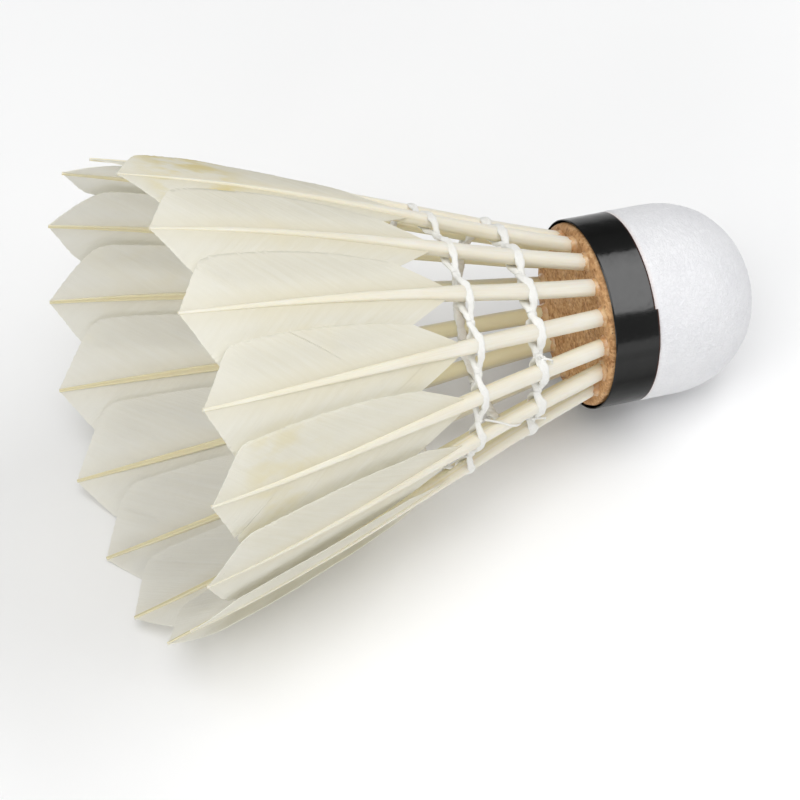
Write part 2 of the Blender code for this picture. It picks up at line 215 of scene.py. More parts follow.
# --- mesh helper ----------------------------------------------------------------------
class Shape:
    """Collects grids of points and faces, with values per point, into one mesh."""

    def __init__(self):
        self.points, self.faces, self.total = [], [], 0
        self.values = {}

    def add_points(self, points, values):
        points = np.asarray(points, float)
        start = self.total
        for name, value in values.items():
            value = np.broadcast_to(value, points.shape[:-1]).ravel()
            self.values.setdefault(name, []).append((start, value))
        self.points.append(points.reshape(-1, 3))
        self.total += len(self.points[-1])
        return start

    def add_faces(self, *corners, flip):
        faces = stack(*corners).reshape(-1, len(corners))
        self.faces.extend((faces[:, ::-1] if flip else faces).tolist())

    def grid(self, points, wrap=False, flip=False, **values):
        """A sheet of rows x columns; returns the point numbers in the same layout."""
        rows, cols = points.shape[:2]
        numbers = self.add_points(points, values) + np.arange(rows * cols).reshape(rows, cols)
        n = np.hstack([numbers, numbers[:, :1]]) if wrap else numbers
        self.add_faces(n[:-1, :-1], n[:-1, 1:], n[1:, 1:], n[1:, :-1], flip=flip)
        return numbers

    def strip(self, a, b, flip=False):
        """Quads between two equally long rows of point numbers."""
        self.add_faces(a[:-1], a[1:], b[1:], b[:-1], flip=flip)

    def fan(self, ring, centre, flip=False, **values):
        """Closes a ring with triangles to a new point."""
        middle = self.add_points([centre], values)
        self.add_faces(ring, np.roll(ring, -1), middle, flip=flip)

    def make(self, name, material, sharp=None):
        """The finished object; edges over `sharp` degrees stay sharp."""
        co = np.concatenate(self.points) * MM
        co = co @ TO_WORLD_ARRAY[:3, :3].T + TO_WORLD_ARRAY[:3, 3]
        mesh = bpy.data.meshes.new(name)
        mesh.from_pydata(co.tolist(), [], self.faces)
        bm = bmesh.new()
        bm.from_mesh(mesh)
        bmesh.ops.recalc_face_normals(bm, faces=bm.faces[:])     # outwards everywhere
        bm.to_mesh(mesh)
        bm.free()
        mesh.update()
        for key, parts in self.values.items():
            full = np.zeros(len(co), np.float32)
            for start, value in parts:
                full[start:start + len(value)] = value
            mesh.attributes.new(key, "FLOAT", "POINT").data.foreach_set("value", full)
        mesh.shade_smooth()
        if sharp:
            mesh.set_sharp_from_angle(angle=math.radians(sharp))
        mesh.materials.append(material)
        ob = bpy.data.objects.new(name, mesh)
        bpy.context.scene.collection.objects.link(ob)
        return ob


# --- shader helper --------------------------------------------------------------------
class Tree:
    """A new material and short ways to add nodes to it."""

    def __init__(self, name):
        self.mat = bpy.data.materials.new(name)
        self.mat.use_nodes = True
        self.nt = self.mat.node_tree
        self.nt.nodes.clear()
        self.out = self.nt.nodes.new("ShaderNodeOutputMaterial")

    def node(self, kind, **props):
        n = self.nt.nodes.new("ShaderNode" + kind)
        for key, value in props.items():
            setattr(n, key, value)
        return n

    def feed(self, socket, value):
        """Links a socket, or sets a number, vector or colour; None leaves it alone."""
        if isinstance(value, bpy.types.NodeSocket):
            self.nt.links.new(value, socket)
        elif isinstance(value, (tuple, list)):
            colour = len(value) == 3 and socket.type == "RGBA"
            socket.default_value = (*value, 1.0) if colour else value
        elif value is not None:
            socket.default_value = value

    def fill(self, n, **values):
        """Feeds inputs by name, with _ for each space."""
        for key, value in values.items():
            self.feed(n.inputs[key.replace("_", " ")], value)
        return n

    def math(self, op, a, b=None):
        n = self.node("Math", operation=op)
        for socket, value in zip(n.inputs, (a, b)):
            self.feed(socket, value)
        return n.outputs[0]

    def plus(self, a, b):
        return self.math("ADD", a, b)

    def times(self, a, b):
        return self.math("MULTIPLY", a, b)

    def distance(self, a, b):
        return self.math("ABSOLUTE", self.math("SUBTRACT", a, b))

    def attr(self, name):
        return self.node("Attribute", attribute_name=name).outputs["Fac"]

    def coords(self):
        return self.node("TexCoord").outputs["Object"]

    def mapped(self, vec, scale=(1, 1, 1), loc=(0, 0, 0), rot=(0, 0, 0)):
        n = self.node("Mapping")
        return self.fill(n, Vector=vec, Scale=scale, Location=loc, Rotation=rot).outputs[0]

    def combine(self, x, y, z):
        n = self.node("CombineXYZ")
        for socket, value in zip(n.inputs, (x, y, z)):
            self.feed(socket, value)
        return n.outputs[0]

    def noise(self, vec, scale, detail=3.0, rough=0.55, distortion=0.0):
        n = self.node("TexNoise")
        self.fill(n, Vector=vec, Scale=scale, Detail=detail, Roughness=rough,
                  Distortion=distortion)
        return n.outputs["Fac"]

    def voronoi(self, vec, scale, feature="F1", out="Distance"):
        n = self.node("TexVoronoi", feature=feature)
        return self.fill(n, Vector=vec, Scale=scale).outputs[out]

    def cell_values(self, vec, scale):
        """Random values, one set for each Voronoi cell."""
        n = self.node("SeparateColor")
        self.feed(n.inputs[0], self.voronoi(vec, scale=scale, out="Color"))
        return n.outputs

    def ramp(self, fac, stops):
        n = self.node("ValToRGB")
        elements = n.color_ramp.elements
        while len(elements) < len(stops):
            elements.new(0.5)
        for element, (position, colour) in zip(elements, stops):
            element.position = position
            element.color = (*colour, 1.0)
        return self.fill(n, Fac=fac).outputs["Color"]

    def remap(self, value, span, to=(0.0, 1.0), smooth=False):
        """Moves a value from the range `span` to the range `to`, clamped."""
        n = self.node("MapRange", interpolation_type="SMOOTHSTEP" if smooth else "LINEAR")
        for socket, v in zip(n.inputs, (value, *span, *to)):
            self.feed(socket, v)
        return n.outputs[0]

    def mix(self, amount, under, over, kind="MIX"):
        n = self.node("Mix", data_type="RGBA", blend_type=kind)
        # several sockets share a name, so the colour ones are taken by number
        for index, value in ((0, amount), (6, under), (7, over)):
            self.feed(n.inputs[index], value)
        return n.outputs[2]

    def bump(self, height, strength, distance):
        n = self.node("Bump")
        return self.fill(n, Height=height, Strength=strength, Distance=distance).outputs[0]

    def principled(self, **values):
        return self.fill(self.node("BsdfPrincipled"), **values).outputs[0]

    def finish(self, shader):
        self.feed(self.out.inputs["Surface"], shader)
        return self.mat


def rgb(r, g, b):
    """sRGB 0-255 to linear."""
    def lin(c):
        c /= 255.0
        return c / 12.92 if c <= 0.04045 else ((c + 0.055) / 1.055) ** 2.4
    return (lin(r), lin(g), lin(b))


# --- materials ------------------------------------------------------------------------
def feather_seed(k):
    """Value, 0 to 1, that tells the feathers apart in their textures."""
    return (k * 0.6180339 + 0.13) % 1.0


def leather_material():
    t = Tree("white_leather")
    obj = t.coords()
    grain_at = t.mapped(obj)
    cells = t.voronoi(grain_at, scale=2600.0, feature="DISTANCE_TO_EDGE")
    fine = t.noise(grain_at, scale=5200.0, detail=3.0, rough=0.6)
    broad = t.noise(obj, scale=120.0, detail=3.0, rough=0.5)
    grain = t.plus(t.remap(cells, span=(0.0, 0.25)), t.times(fine, 0.6))
    colour = t.mix(t.remap(broad, span=(0.35, 0.7)), rgb(238, 238, 240), rgb(232, 232, 235))
    # grey smudges
    smudge = t.noise(t.mapped(obj, loc=(0.3, 0.1, 0.7)), scale=300.0, detail=4.0, rough=0.65)
    smudge = t.remap(smudge, span=(0.62, 0.82), to=(0.0, 0.18))
    colour = t.mix(smudge, colour, rgb(196, 195, 200))
    # painted highlight: the leather is slightly warmer and lighter just in front of the tape's edge,
    # where the cover swells
    rim = t.remap(t.attr("axial"), span=(-7.4, -6.8), to=(0.0, 0.5), smooth=True)
    colour = t.mix(rim, colour, rgb(246, 232, 226))
    rough = t.remap(fine, span=(0.3, 0.7), to=(0.46, 0.6))
    # thin creases; their valleys are darkened a little with painted shade
    crease = t.noise(t.mapped(obj, scale=(1.0, 0.45, 1.6), rot=(0.5, 0.7, 0.3)),
                     scale=1500.0, detail=3.0, rough=0.6, distortion=0.5)
    fold = t.remap(t.distance(crease, 0.5), span=(0.0, 0.12))
    colour = t.mix(t.remap(fold, span=(0.0, 0.35), to=(0.16, 0.0)), colour, rgb(186, 186, 190))
    relief = t.plus(t.times(grain, 0.3), fold)
    return t.finish(t.principled(
        Base_Color=colour, Roughness=rough,
        Normal=t.bump(relief, strength=0.5, distance=0.00010),
        Specular_IOR_Level=0.4, Sheen_Weight=0.08, Sheen_Roughness=0.5))


def tape_material():
    t = Tree("black_tape")
    obj = t.coords()
    edge = t.attr("edge")                       # 1 at the nose-side cut edge
    base = t.mix(t.noise(obj, scale=400.0, detail=2.0),
                 (0.0020, 0.0022, 0.0020), (0.0045, 0.0045, 0.0040))
    # brown along the cut edge, broken into patches
    broken = t.remap(t.noise(obj, scale=900.0, detail=3.0, rough=0.6),
                     span=(0.32, 0.55), to=(0.35, 1.0))
    colour = t.mix(t.times(edge, broken), base, rgb(84, 46, 34))
    film = t.noise(obj, scale=420.0, detail=2.0, rough=0.5, distortion=0.4)
    grain = t.noise(obj, scale=6000.0, detail=2.0)
    height = t.plus(film, t.times(grain, 0.05))
    rough = t.remap(t.noise(obj, scale=1500.0, detail=3.0), span=(0.3, 0.7), to=(0.11, 0.19))
    rough = t.plus(rough, t.times(edge, 0.3))
    # less reflection where the surface turns away from the eye
    facing = t.fill(t.node("LayerWeight"), Blend=0.5).outputs["Facing"]
    return t.finish(t.principled(
        Base_Color=colour, Roughness=rough,
        Normal=t.bump(height, strength=0.08, distance=0.0004),
        Specular_IOR_Level=t.remap(facing, span=(0.14, 0.42), to=(0.58, 0.10))))


def cork_material(name, dark, mid, light, grain):
    """Cork in three tones; grain is the scale of its mottling."""
    t = Tree(name)
    obj = t.coords()
    mottle = t.noise(obj, scale=grain, detail=5.0, rough=0.62, distortion=0.6)
    cell = t.cell_values(obj, scale=grain * 3.0)[0]
    tone = t.plus(t.times(mottle, 0.75), t.times(cell, 0.25))
    colour = t.ramp(tone, [(0.28, dark), (0.5, mid), (0.74, light)])
    # dark pores, in patches
    pores = t.remap(t.voronoi(obj, scale=grain * 1.6), span=(0.05, 0.22), to=(1.0, 0.0))
    patches = t.remap(t.noise(obj, scale=grain * 0.5, detail=2.0), span=(0.52, 0.62))
    pore = t.times(pores, patches)
    colour = t.mix(pore, colour, tuple(c * 0.35 for c in dark))
    height = t.math("SUBTRACT", mottle, t.times(pore, 0.8))
    rough = t.remap(t.noise(obj, scale=500.0, detail=2.0), span=(0.45, 0.65), to=(0.8, 0.45))
    return t.finish(t.principled(
        Base_Color=colour, Roughness=rough,
        Normal=t.bump(height, strength=0.5, distance=0.0002), Specular_IOR_Level=0.4))


def glue_material():
    t = Tree("clear_adhesive")
    obj = t.coords()
    tint = t.remap(t.noise(obj, scale=700.0, detail=3.0), span=(0.35, 0.65))
    rough = t.noise(obj, scale=1800.0, detail=2.0)
    height = t.noise(obj, scale=1200.0, detail=3.0)
    return t.finish(t.principled(
        Base_Color=t.mix(tint, rgb(226, 186, 140), rgb(203, 152, 104)),
        Roughness=t.remap(rough, span=(0.3, 0.7), to=(0.16, 0.34)),
        Normal=t.bump(height, strength=0.25, distance=0.0003),
        Subsurface_Weight=0.35, Subsurface_Radius=(0.0016, 0.0010, 0.0006),
        Subsurface_Scale=1.0, Coat_Weight=0.4, Coat_Roughness=0.12))


def thread_material():
    t = Tree("white_thread")
    along, around, seed = t.attr("along"), t.attr("around"), t.attr("seed")
    # fibres wind slowly round the strand
    where = t.combine(t.times(along, 0.9),
                      t.plus(t.times(around, 9.0), t.times(along, 7.0)), t.times(seed, 31.0))
    fibre = t.noise(where, scale=1.6, detail=4.0, rough=0.65)
    blot = t.noise(t.coords(), scale=420.0, detail=2.0)
    colour = t.mix(t.remap(fibre, span=(0.3, 0.66)), rgb(231, 229, 222), rgb(245, 245, 242))
    colour = t.mix(t.remap(blot, span=(0.52, 0.74), to=(0.0, 0.4)), colour, rgb(238, 234, 219))
    return t.finish(t.principled(
        Base_Color=colour, Roughness=t.remap(blot, span=(0.4, 0.68), to=(0.62, 0.34)),
        Normal=t.bump(fibre, strength=0.35, distance=0.00012), Specular_IOR_Level=0.45))


def shaft_material():
    t = Tree("feather_shaft")
    z, around, seed = t.attr("height"), t.attr("around"), t.attr("seed")
    # lengthwise streaks and broad patches
    streaks = t.noise(t.combine(t.times(around, 6.0), t.times(z, 0.07), t.times(seed, 57.0)),
                      scale=1.8, detail=4.0, rough=0.6)
    patches = t.noise(t.combine(t.times(around, 0.8), t.times(z, 0.16), t.times(seed, 91.0)),
                      scale=1.0, detail=2.0)
    tone = t.mix(t.remap(z, span=(18.0, 44.0)), rgb(235, 231, 219), rgb(240, 235, 216))
    tone = t.mix(t.remap(streaks, span=(0.35, 0.68), to=(0.0, 0.42)), tone, rgb(226, 216, 188))
    tone = t.mix(t.remap(patches, span=(0.45, 0.75), to=(0.0, 0.5)), tone, rgb(243, 241, 233))
    # painted reflection: the quill's root is tinted tan, standing in for light thrown back from the cork
    root = t.remap(z, span=(0.2, 2.2), to=(0.5, 0.0), smooth=True)
    tone = t.mix(root, tone, rgb(222, 190, 150))
    # painted light: the side that faces into the cone is tinted yellow, standing in for the warm light
    # inside the cone
    inner = t.remap(t.math("SINE", around), span=(-0.1, -0.85), to=(0.0, 0.75), smooth=True)
    tone = t.mix(inner, tone, rgb(231, 221, 178))
    # painted shade: the groove in the rachis is darker
    tone = t.mix(t.times(t.attr("groove"), 0.55), tone, rgb(212, 200, 164))
    # painted shade: the shaft's flanks, across its width, are darker and yellower
    tone = t.mix(t.times(t.attr("flank"), 0.28), tone, rgb(222, 208, 168))
    return t.finish(t.principled(
        Base_Color=tone, Roughness=t.remap(streaks, span=(0.3, 0.7), to=(0.34, 0.5)),
        Normal=t.bump(streaks, strength=0.3, distance=0.00015), Specular_IOR_Level=0.45,
        Subsurface_Weight=0.25, Subsurface_Radius=(0.0010, 0.0008, 0.0005),
        Subsurface_Scale=1.0))


def vane_material():
    """Thin translucent web: barb streaks, faint yellowing, specks."""
    t = Tree("feather_vane")
    barb, reach, seed = t.attr("barb"), t.attr("reach"), t.attr("seed")
    z, lateral = t.attr("height"), t.attr("lateral")
    own = t.times(seed, 57.0)                   # sets each feather apart
    # streaks that run along the barbs: fast across them, slow along them
    streak = t.noise(t.combine(t.times(barb, 0.62), t.times(reach, 0.10), own),
                     scale=1.0, detail=4.0, rough=0.7)
    strand = t.noise(t.combine(t.times(barb, 0.16), t.times(reach, 0.05), t.plus(own, 9.0)),
                     scale=1.0, detail=3.0, rough=0.6)
    cloud = t.noise(t.combine(t.times(lateral, 0.11), t.times(z, 0.07), t.plus(own, 21.0)),
                    scale=1.0, detail=3.0, rough=0.55)
    base = t.mix(t.remap(strand, span=(0.34, 0.66)), rgb(248, 247, 240), rgb(253, 253, 250))
    base = t.mix(t.remap(streak, span=(0.36, 0.7), to=(0.0, 0.42)), base, rgb(238, 235, 222))
    yellow = t.remap(cloud, span=(0.56, 0.8), to=(0.0, 0.45), smooth=True)
    base = t.mix(yellow, base, rgb(244, 236, 204))
    # a warmer band next to the shaft and a clearer tip
    near = t.remap(t.math("ABSOLUTE", lateral), span=(0.4, 3.2), to=(0.45, 0.0), smooth=True)
    base = t.mix(near, base, rgb(240, 234, 212))
    tip = t.remap(z, span=(50.0, 63.0), to=(0.0, 0.5), smooth=True)
    base = t.mix(tip, base, rgb(250, 250, 247))
    # a few specks: about one cell in seven holds one, each of its own size and strength
    where = t.combine(t.times(lateral, 0.62), t.times(z, 0.45), own)
    cell = t.cell_values(where, scale=1.0)
    size = t.remap(cell[0], span=(0.86, 1.0), to=(0.0, 0.075))
    ragged = t.remap(t.noise(where, scale=9.0, detail=2.0), span=(0.3, 0.7), to=(0.6, 1.7))
    spot = t.math("SUBTRACT", size, t.times(t.voronoi(where, scale=1.0), ragged))
    speck = t.times(t.remap(spot, span=(0.0, 0.018)),
                    t.remap(cell[1], span=(0.0, 1.0), to=(0.2, 0.55)))
    base = t.mix(speck, base, rgb(132, 118, 92))
    # natural yellow patches round z = 53: a clear one on the second feather, a faint
    # one on the fourteenth
    band = t.remap(t.distance(z, 53.0), span=(2.0, 9.0), to=(1.0, 0.0), smooth=True)
    blotch = t.noise(t.combine(t.times(lateral, 0.35), t.times(z, 0.16), own),
                     scale=1.0, detail=3.0)
    stain = t.times(band, t.remap(blotch, span=(0.44, 0.60)))
    clear, faint = (t.remap(t.distance(seed, feather_seed(k)), span=(0.005, 0.01),
                            to=(strength, 0.0)) for k, strength in ((1, 0.75), (13, 0.25)))
    base = t.mix(t.times(stain, t.plus(clear, faint)), base, rgb(238, 224, 152))
    # whiter on the inner face, warmer on the outer one
    face = t.attr("outer")
    base = t.mix(t.remap(face, span=(0.0, 1.0), to=(0.35, 0.0)), base, rgb(252, 252, 252))
    base = t.mix(t.remap(face, span=(0.0, 1.0), to=(0.0, 0.5)), base,
                 t.mix(0.45, base, rgb(242, 235, 206)))
    fuzz = t.noise(t.combine(t.times(barb, 2.2), t.times(reach, 3.0), own),
                   scale=1.0, detail=2.0)
    normal = t.bump(t.plus(streak, t.times(fuzz, 0.35)), strength=0.35, distance=0.00018)
    solid = t.principled(
        Base_Color=base, Roughness=t.remap(streak, span=(0.3, 0.7), to=(0.5, 0.66)),
        Normal=normal, Specular_IOR_Level=0.35, Sheen_Weight=0.15, Sheen_Roughness=0.4)
    glow = t.mix(0.3, base, rgb(252, 249, 240), kind="MULTIPLY")
    through = t.fill(t.node("BsdfTranslucent"), Color=glow, Normal=normal).outputs[0]
    blend = t.node("MixShader")
    share = t.remap(strand, span=(0.3, 0.7), to=(0.36, 0.5))
    for socket, value in zip(blend.inputs, (share, solid, through)):
        t.feed(socket, value)
    return t.finish(blend.outputs[0])


def floor_material():
    t = Tree("studio_floor")
    obj = t.coords()
    colour = t.mix(t.noise(obj, scale=30.0, detail=2.0), (0.93, 0.93, 0.93), (0.95, 0.95, 0.95))
    # far from the shuttle the floor glows pale, as seen by the camera only
    away = t.node("VectorMath", operation="LENGTH")
    t.feed(away.inputs[0], obj)
    far = t.remap(away.outputs["Value"], span=(0.22, 1.3), to=(0.0, 0.72), smooth=True)
    seen = t.times(far, t.node("LightPath").outputs["Is Camera Ray"])
    return t.finish(t.principled(
        Base_Color=colour, Roughness=0.9, Specular_IOR_Level=0.1,
        Emission_Color=(1.0, 1.0, 1.0), Emission_Strength=seen))


LEATHER, TAPE, GLUE = leather_material(), tape_material(), glue_material()
CORK = cork_material("natural_cork", dark=rgb(150, 103, 60), mid=rgb(196, 150, 102),
                     light=rgb(223, 184, 136), grain=900.0)
COMPOSITE = cork_material("composite_cork", dark=rgb(96, 58, 32), mid=rgb(160, 104, 62),
                          light=rgb(198, 142, 92), grain=420.0)
THREAD, SHAFT, VANE = thread_material(), shaft_material(), vane_material()


# --- base -----------------------------------------------------------------------------
def dome_profile(inset, steps):
    """Rounded nose from just past the shoulder to the axis: radius, z."""
    angle = np.linspace(0, 0.5 * math.pi, steps + 1)[1:]
    power = 2.0 / DOME_POWER
    return np.stack([(BASE_R - inset) * np.cos(angle) ** power,
                     -SHOULDER - (DOME_H - inset) * np.sin(angle) ** power], 1)


def resample(profile, step):
    """A profile at equal steps of arc length."""
    r, z = profile.T
    arc = np.concatenate([[0], np.cumsum(np.hypot(np.diff(r), np.diff(z)))])
    at = np.linspace(0, arc[-1], int(arc[-1] / step) + 1)
    return np.stack([np.interp(at, arc, r), np.interp(at, arc, z)], 1)


def crinkle(p):
    """Height of the leather's creases: ridged noise stretched slantwise, in patches."""
    x, y, z = np.moveaxis(p, -1, 0)
    slant = stack(x * 0.55 + z * 0.25, y * 0.55 - z * 0.3, z * 1.1 + x * 0.3)
    ridged = 1 - np.abs(fbm(slant * 1.5, 3, 11)) * 2
    fine = fbm(p * 2.6, 2, 29)
    broad = fbm(p * 0.16, 2, 5)
    patches = np.clip(fbm(p * 0.22, 2, 77) * 1.6 + 0.55, 0.1, 1.0)
    return 0.105 * (ridged - 0.6) * patches + 0.035 * fine + 0.06 * broad


def build_leather():
    segments = 360
    profile = resample(np.concatenate([LEATHER_REAR, dome_profile(0.0, 400)]), 0.23)[:-1]
    p = lathe(profile, segments)
    run = np.gradient(profile, axis=0)
    run /= np.hypot(run[:, 0], run[:, 1])[:, None]
    flat = p[..., :2]
    outward = flat / np.linalg.norm(flat, axis=-1, keepdims=True)
    normal = np.concatenate([outward * -run[:, None, 1:],
                             np.broadcast_to(run[:, None, :1], p.shape[:2] + (1,))], -1)
    z = profile[:, 1:]
    fade = np.clip((-z - 7.2) / 1.5, 0, 1)          # smooth where the tape grips it
    # the cover swells a little just in front of the tape
    swell = 0.07 * np.exp(-((z + 7.7) / 0.55) ** 2)
    p = p + normal * (crinkle(p) * fade + swell)[..., None]
    p[..., 2] = np.maximum(p[..., 2], NOSE_Z - 0.1)
    s = Shape()
    outer = s.grid(p, wrap=True, axial=p[..., 2])
    s.fan(outer[-1], (0, 0, NOSE_Z - 0.02))
    lining = np.concatenate([LEATHER_LINING, dome_profile(LEATHER_INSET, 14)])[:-1]
    inner = s.grid(lathe(lining, segments), wrap=True, flip=True)
    s.fan(inner[-1], (0, 0, NOSE_Z + LEATHER_INSET), flip=True)
    s.strip(np.append(outer[0], outer[0, 0]), np.append(inner[0], inner[0, 0]), flip=True)
    return s.make("leather_skin", LEATHER, sharp=60)


def build_tape():
    """One wound strip: its end laps over its start and sits slightly askew."""
    sweep = 2 * math.pi + 0.42                      # a full turn and the overlap
    phi = np.linspace(0, sweep, 420)
    angle = (phi + math.radians(289.0))[:, None]
    raised = smooth(phi, 2 * math.pi - 0.10, 2 * math.pi + 0.04)[:, None]
    base = TAPE_INNER_R + raised * (TAPE_THICK + 0.02)
    askew = (-0.10 - 0.30 * (phi / sweep) ** 1.6)[:, None]
    # cross-section, corners eased: height above the cork, z
    width = TAPE_FRONT - TAPE_REAR
    section = [(0.0, TAPE_REAR - 0.02), (TAPE_THICK * 0.6, TAPE_REAR),
               (TAPE_THICK, TAPE_REAR - 0.06)]
    section += [(TAPE_THICK, TAPE_REAR + width * t) for t in np.linspace(0.04, 0.96, 9)]
    section += [(TAPE_THICK, TAPE_FRONT + 0.06), (TAPE_THICK * 0.6, TAPE_FRONT),
                (0.0, TAPE_FRONT + 0.02)]
    section += [(0.0, TAPE_REAR + width * t) for t in (0.75, 0.5, 0.25)]
    height, section_z = np.array(section).T
    middle = 0.5 * (TAPE_REAR + TAPE_FRONT)
    z = section_z + askew * np.clip((middle - section_z) / 3.0, -0.25, 1)
    wave = fbm(stack(angle * 3.1, z * 0.55, 0.3 * z), 3, 43) * 0.035
    ripple = np.where(height > 0.01, wave, wave * 0.2)
    r = base + height + ripple - 0.02
    p = stack(r * np.cos(angle), r * np.sin(angle), z)
    s = Shape()
    numbers = s.grid(p, wrap=True, flip=True,
                     edge=np.clip((0.16 - (section_z - TAPE_FRONT)) / 0.12, 0, 1))
    for row in (0, -1):
        s.fan(numbers[row], p[row].mean(0), flip=row == -1)
    return s.make("tape_band", TAPE, sharp=50)


def build_cork():
    """Rear disc of natural cork with its bare rim; pores and grain in the face."""
    profile = [(r, 0.0) for r in np.arange(0.4, 11.9, 0.26)] + CORK_SIDE
    profile = np.array(profile + [(r, -CORK_DEPTH) for r in (11.0, 8.0, 5.0, 2.0)])
    p = lathe(profile, 300)
    z = profile[:, 1:]
    exposed, flat = z > -1.5, z > -0.05
    relief = fbm(p * 1.3, 4, 61) * 0.07
    pits = np.clip(noise(p * 1.15, 71) - 0.5, 0, 1) * -0.45
    grain = fbm(p * np.array([0.5, 2.6, 1.0]), 2, 83) * 0.04
    rough = (relief + pits + grain) * exposed
    # the face moves along z, the rim outwards
    p[..., 2] += np.where(flat, rough - 0.03, 0)
    p[..., :2] *= (1 + np.where(~flat & exposed, rough, 0) / CORK_R)[..., None]
    s = Shape()
    numbers = s.grid(p, wrap=True, flip=True)
    s.fan(numbers[0], (0, 0, -0.03), flip=True)
    s.fan(numbers[-1], (0, 0, -CORK_DEPTH))
    return s.make("cork_face", CORK, sharp=70)


# --- feathers -------------------------------------------------------------------------
ROOT_SLOPE = (TIP_R - INSERT_R - 0.5 * math.pi * BOW) / LENGTH


def shaft_radius(z):
    """Distance of the shafts from the axis: straight in the cork, bowed above it."""
    t = np.clip(z, 0, None) / LENGTH
    bent = INSERT_R + (TIP_R - INSERT_R) * t + BOW * np.sin(math.pi * t) * (2 * t - 0.5)
    return np.where(z <= 0, INSERT_R + ROOT_SLOPE * z, bent)


def shaft_slope(z):
    return np.arctan2(shaft_radius(z + 0.05) - shaft_radius(z - 0.05), 0.1)


def feather_values(k):
    """Where feather k stands and how it differs from the others."""
    rng = np.random.RandomState(4100 + k)
    short = k == 2                                  # the third feather sits low
    return SimpleNamespace(
        k=k,
        theta=PITCH * k + PHASE,
        seed=feather_seed(k),
        start=rng.uniform(0.0, 0.7),                # how much later the web begins
        tip=LENGTH + (rng.uniform(-0.6, 0.0) - (0.5 if short else 0.0)),
        cut=math.radians(rng.uniform(-3.0, 3.0)),   # turn of the slanted cut
        corner=rng.uniform(0.7, 1.3),               # rounding where side meets cut
        tilt=math.radians(rng.uniform(-1.0, 1.0)),
        twist=math.radians(rng.uniform(-1.5, 2.0)),
        sway=rng.uniform(0.1, 0.5),                 # sideways bend of the shaft
        out=rng.uniform(-0.35, 0.15) - (0.2 if short else 0.0),
        curl=rng.uniform(-0.2, 0.3),
        width=rng.uniform(0.97, 1.01),
        fuller=rng.uniform(-0.12, 0.18),            # extra reach at mid-length
        flutter=rng.uniform(0.08, 0.17),            # waviness of the web's edges
        rng=rng)


def sway_at(feather, z):
    return feather.sway * np.sin(np.clip(z, 0, LENGTH) / LENGTH * math.pi) ** 2 * 0.8


def shaft_point(feather, z, across, out):
    """Point at height z on a feather, offset across and outwards."""
    slope = shaft_slope(z)
    t = np.clip((z - 20) / 44.0, 0, None)
    r = shaft_radius(z) + feather.out * t ** 1.5
    return turned(r + out * np.cos(slope), across + sway_at(feather, z),
                  z - out * np.sin(slope), feather.theta)


def build_shaft(feather):
    """Quill and rachis in one: round calamus, then a squarer, grooved rachis."""
    z = np.concatenate([np.linspace(-7.6, 0, 8), np.linspace(0.5, 24, 48),
                        np.linspace(24.6, feather.tip, 62)])[:, None]
    sides = 24
    angle = np.arange(sides) * 2 * math.pi / sides + math.pi / sides
    half_width = np.interp(z, SHAFT_Z, SHAFT_WIDTH)
    half_depth = np.interp(z, SHAFT_Z, SHAFT_DEPTH)
    rachis = smooth(z, 17, 26)
    power = 2.0 / (2.15 + 0.9 * rachis)
    ca, sa = np.cos(angle), np.sin(angle)
    x = half_width * np.sign(ca) * np.abs(ca) ** power
    y = half_depth * np.sign(sa) * np.abs(sa) ** power
    # the inner face of the rachis carries a shallow groove
    groove = np.exp(-(ca / 0.34) ** 2) * (sa < 0)
    y = y + rachis * half_depth * 0.38 * groove
    # long, faint ridges and an uneven scraped surface
    shift = feather.seed * 40
    uneven = fbm(stack(angle * 1.6 + shift, z * 0.12, feather.k), 3, 7) * 0.045
    ridges = 0.012 * np.cos(angle * 9 + shift + 0.02 * z)
    swell = 1 + 0.03 * noise(stack(z * 0.22, shift, 0), 3)
    scale = swell * (1 + uneven) + ridges
    p = shaft_point(feather, z, x * scale, y * scale)
    s = Shape()
    numbers = s.grid(p, wrap=True, height=z, around=angle, seed=feather.seed,
                     groove=groove * rachis, flank=np.clip(np.abs(ca) * 1.3 - 0.5, 0, 1))
    for row in (0, -1):
        s.fan(numbers[row], p[row].mean(0), flip=row == 0, height=z[row], seed=feather.seed)
    return s.make("feather_%02d_shaft" % (feather.k + 1), SHAFT, sharp=75)


def vane_reach(z, feather, side):
    """Reach of the web at height z: straight start, long flare, slanted cut at the tip."""
    late = feather.start * np.clip((30.0 - z) / 7.8, 0, 1)
    reach = curve(z - late, VANE_Z, VANE_OVER if side > 0 else VANE_UNDER) * feather.width
    reach = reach + feather.fuller * np.sin(np.clip((z - 23) / 33.0, 0, 1) * math.pi)
    cut = (feather.tip - z) / math.tan(TIP_CUT + feather.cut * side) + 0.12
    # the smaller of the two, with the corner between them rounded
    rounding = feather.corner * (0.75 if side > 0 else 1.30)
    low, high = np.minimum(reach, cut), np.maximum(reach, cut)
    return np.maximum(low - rounding * np.log1p(np.exp(-(high - low) / rounding)), 0.0)


def web_lift(feather, z, across):
    """Outward offset of the web's middle surface."""
    base = np.interp(z, SHAFT_Z, SHAFT_DEPTH) * 0.30
    arch = CAMBER * np.cos(shaft_slope(z)) / shaft_radius(z)
    t = np.clip((z - 30) / 34.0, 0, 1)
    tilt = np.tan(SHINGLE + feather.tilt + feather.twist * (t - 0.3))
    lift = base + tilt * across - 0.5 * arch * across * across
    width = np.maximum(curve(z, VANE_Z, np.maximum(VANE_OVER, VANE_UNDER)), 0.8)
    edge = np.clip(np.abs(across) / width, 0, 1.1)
    lift = lift + feather.curl * edge ** 4 * t * np.where(across > 0, 1.0, 0.4)
    wave = noise(stack(z * 0.16 + feather.k * 3.7, across * 0.22, 5.0), 15)
    return lift + feather.flutter * wave * edge ** 1.5


